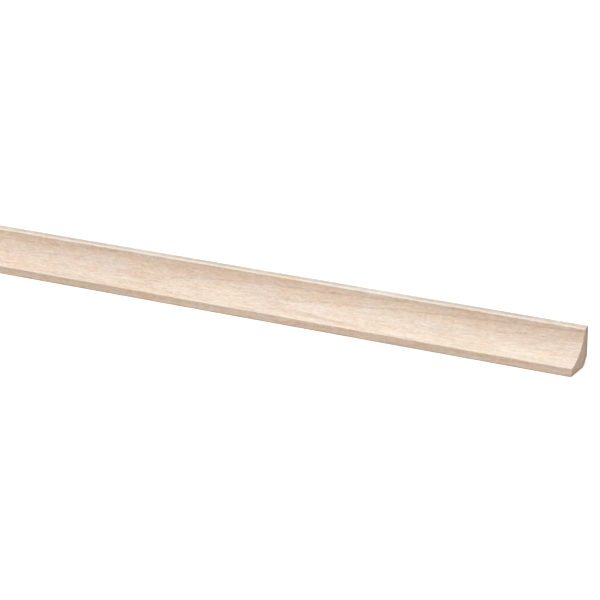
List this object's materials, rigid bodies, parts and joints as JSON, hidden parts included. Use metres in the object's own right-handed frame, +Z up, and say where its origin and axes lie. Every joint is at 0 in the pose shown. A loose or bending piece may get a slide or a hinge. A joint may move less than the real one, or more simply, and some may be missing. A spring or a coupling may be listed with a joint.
{
  "type": "cornice moulding",
  "caption": "Slim cove cornice moulding: a straight stick of pale wood with a hollow show face between bevelled lips and a chamfered back corner, for trimming a wall and ceiling joint.",
  "frame": {"origin": "middle of the stick's footprint, on the floor it lies on", "axes": "+X along the stick, +Y towards the wall that its back goes against, +Z up, away from the face that goes against the ceiling"},
  "size_m": [2.4, 0.028, 0.028],
  "materials": {
    "wood": "planed and sanded, unfinished"
  },
  "bodies": {
    "root": {"cornice_moulding": "wood"}
  },
  "joints": []
}
